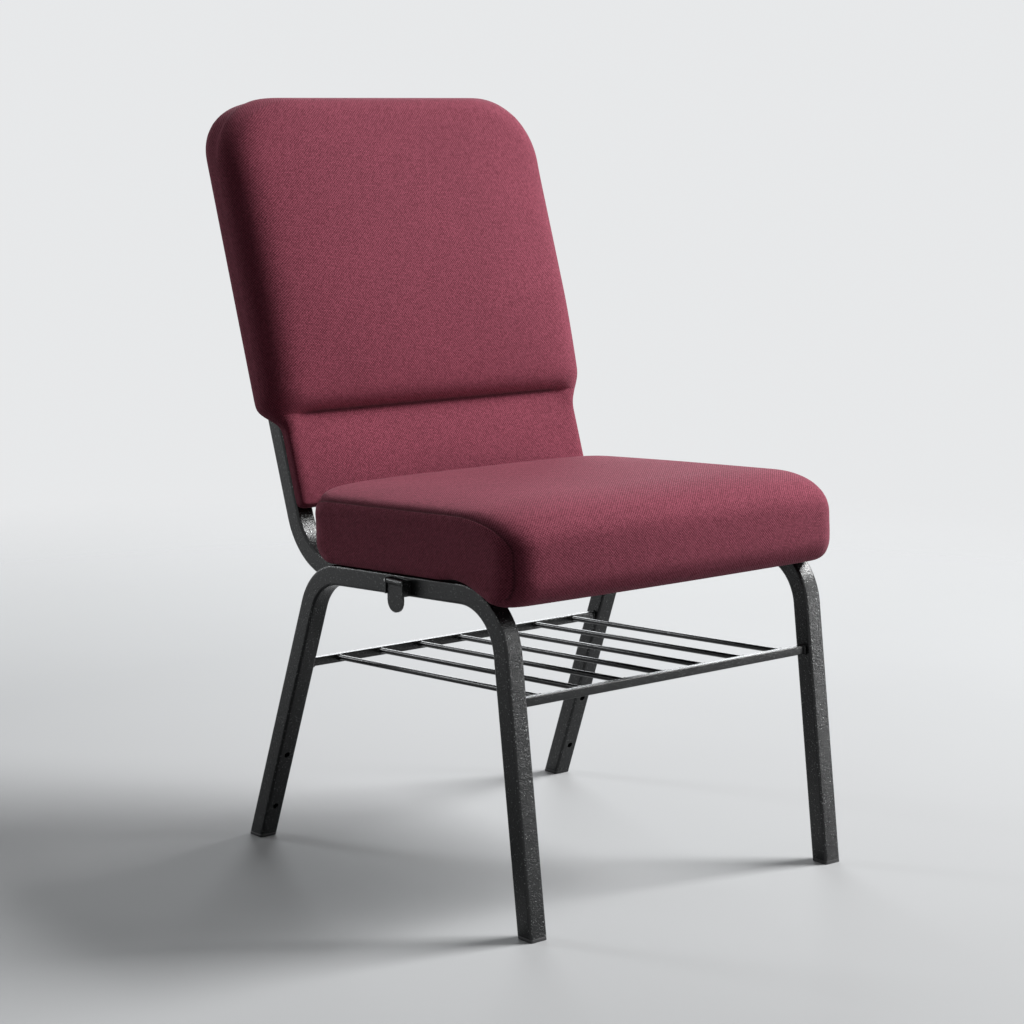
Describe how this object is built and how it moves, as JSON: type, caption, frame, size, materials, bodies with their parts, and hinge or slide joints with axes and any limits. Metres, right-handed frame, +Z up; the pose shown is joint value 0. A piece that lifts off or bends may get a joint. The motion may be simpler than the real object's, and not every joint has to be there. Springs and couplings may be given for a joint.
{
  "type": "auditorium chair",
  "caption": "Stacking auditorium chair: upholstered seat and back on a bent square tube frame, with a book rack under the seat and a swinging tongue that links a row.",
  "frame": {"origin": "on the floor, under the middle of the bounding box", "axes": "+Z up, -Y to the front where the sitter's knees are, +X to the right of a person who faces the chair"},
  "size_m": [0.4767, 0.6037, 0.8375],
  "materials": {
    "powder_coat": "dark grey hammered powder coat on steel tube, rod and sheet",
    "fabric": "burgundy tweed weave",
    "foam": "pale polyurethane foam",
    "plywood": "bare plywood",
    "dust_cloth": "black non-woven cloth",
    "nylon": "black nylon",
    "zinc": "zinc plated"
  },
  "bodies": {
    "chair": {"side_frame_left": "powder_coat", "side_frame_right": "powder_coat", "back_upright_left": "powder_coat", "back_upright_right": "powder_coat", "back_top_rail": "powder_coat", "seat_rail_front": "powder_coat", "seat_rail_rear": "powder_coat", "rack_bar_front": "powder_coat", "rack_bar_rear": "powder_coat", "rack_rod_1": "powder_coat", "rack_rod_2": "powder_coat", "rack_rod_3": "powder_coat", "rack_rod_4": "powder_coat", "rack_rod_5": "powder_coat", "rack_rod_6": "powder_coat", "rack_rod_7": "powder_coat", "gang_bracket": "powder_coat", "gang_receiver": "powder_coat", "seat_cover": "fabric", "back_cover": "fabric", "lumbar_cover": "fabric", "seat_foam": "foam", "back_foam": "foam", "lumbar_foam": "foam", "seat_board": "plywood", "back_board": "plywood", "back_rear_panel": "plywood", "seat_dust_cover": "dust_cloth", "foot_glide_front_left": "nylon", "foot_glide_front_right": "nylon", "foot_glide_rear_left": "nylon", "foot_glide_rear_right": "nylon", "seat_run_plug_left": "nylon", "seat_run_plug_right": "nylon", "upright_plug_left": "nylon", "upright_plug_right": "nylon", "gang_pin": "zinc", "seat_screw_1": "zinc", "seat_screw_2": "zinc", "seat_screw_3": "zinc", "seat_screw_4": "zinc", "seat_tee_nut_1": "zinc", "seat_tee_nut_2": "zinc", "seat_tee_nut_3": "zinc", "seat_tee_nut_4": "zinc", "back_screw_low_left": "zinc", "back_screw_low_right": "zinc", "back_screw_high_left": "zinc", "back_screw_high_right": "zinc"},
    "tongue": {"gang_tongue": "powder_coat"}
  },
  "joints": [
    {"name": "tongue_swing", "type": "hinge", "parent": "chair", "child": "tongue", "pos_m": [-0.23466, -0.09422, 0.33971], "axis": [-0.0192, 0.9998, 0], "range_deg": [-18, 90]}
  ]
}
